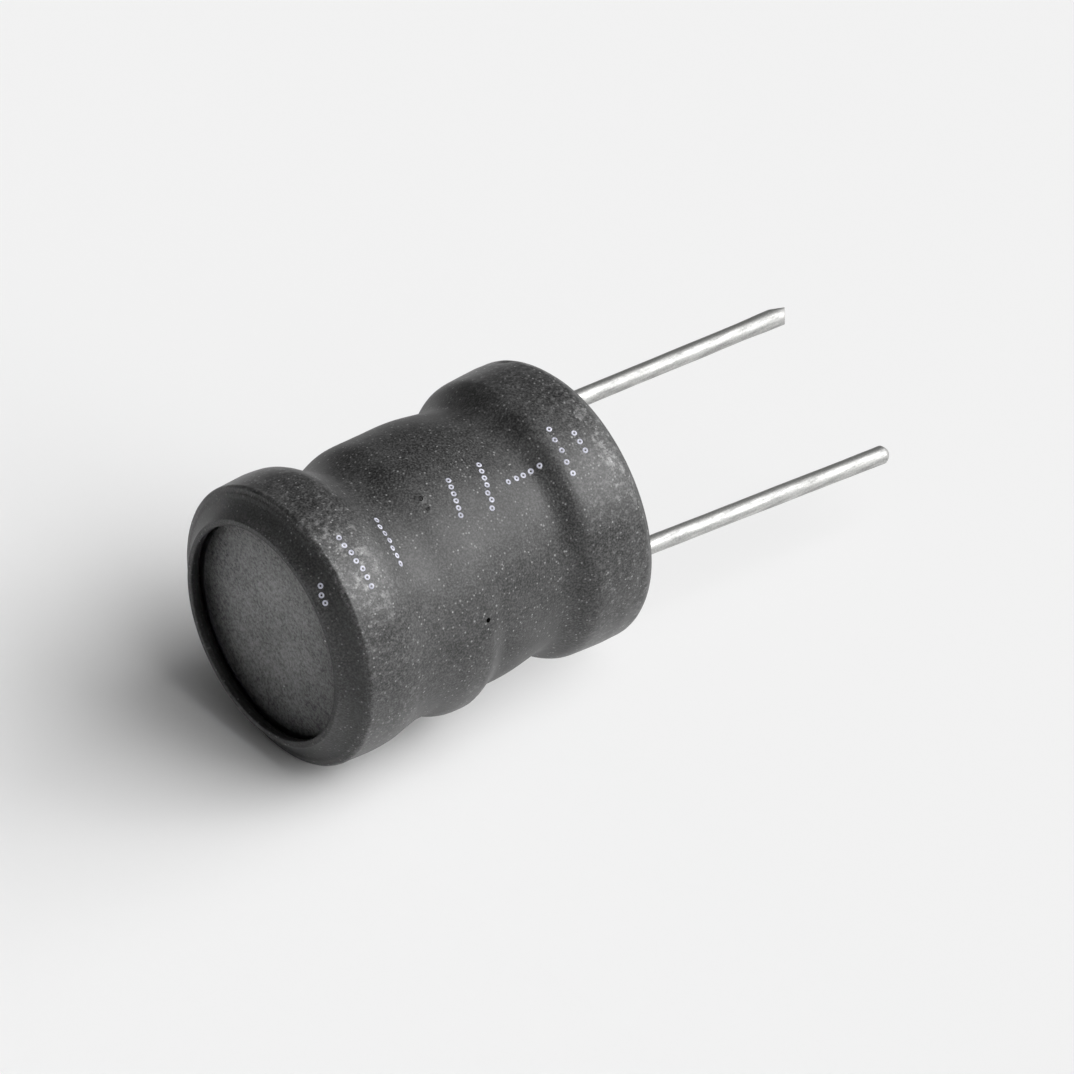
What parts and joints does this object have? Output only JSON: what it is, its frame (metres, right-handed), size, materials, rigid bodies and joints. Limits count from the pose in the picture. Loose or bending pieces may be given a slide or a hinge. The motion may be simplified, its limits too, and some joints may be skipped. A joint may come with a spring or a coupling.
{
  "type": "drum core inductor",
  "caption": "Radial drum core inductor: a wound ferrite drum in a black heat-shrink sleeve, with tinned wire leads.",
  "frame": {"origin": "centre of the sleeve's head rim, on the surface that the part stands on", "axes": "+Z along the drum's axis, from the head to the leads; +Y from lead A to lead B"},
  "size_m": [0.009, 0.009, 0.0222],
  "materials": {
    "sleeve": "matte black polyolefin shrink sleeve, finely mottled",
    "ferrite": "sintered nickel zinc ferrite, dark grey, unglazed",
    "enamelled_wire": "enamelled copper wire, amber brown gloss",
    "tinned_wire": "bright hot-dip tin on copper wire",
    "solder": "tin solder, slightly grainy",
    "cement": "cured epoxy cement"
  },
  "bodies": {
    "root": {"shrink_sleeve": "sleeve", "drum_core": "ferrite", "winding": "enamelled_wire", "lead_a": "tinned_wire", "lead_b": "tinned_wire", "solder_joint_a": "solder", "solder_joint_b": "solder", "pin_cement_a": "cement", "pin_cement_b": "cement"}
  },
  "joints": []
}
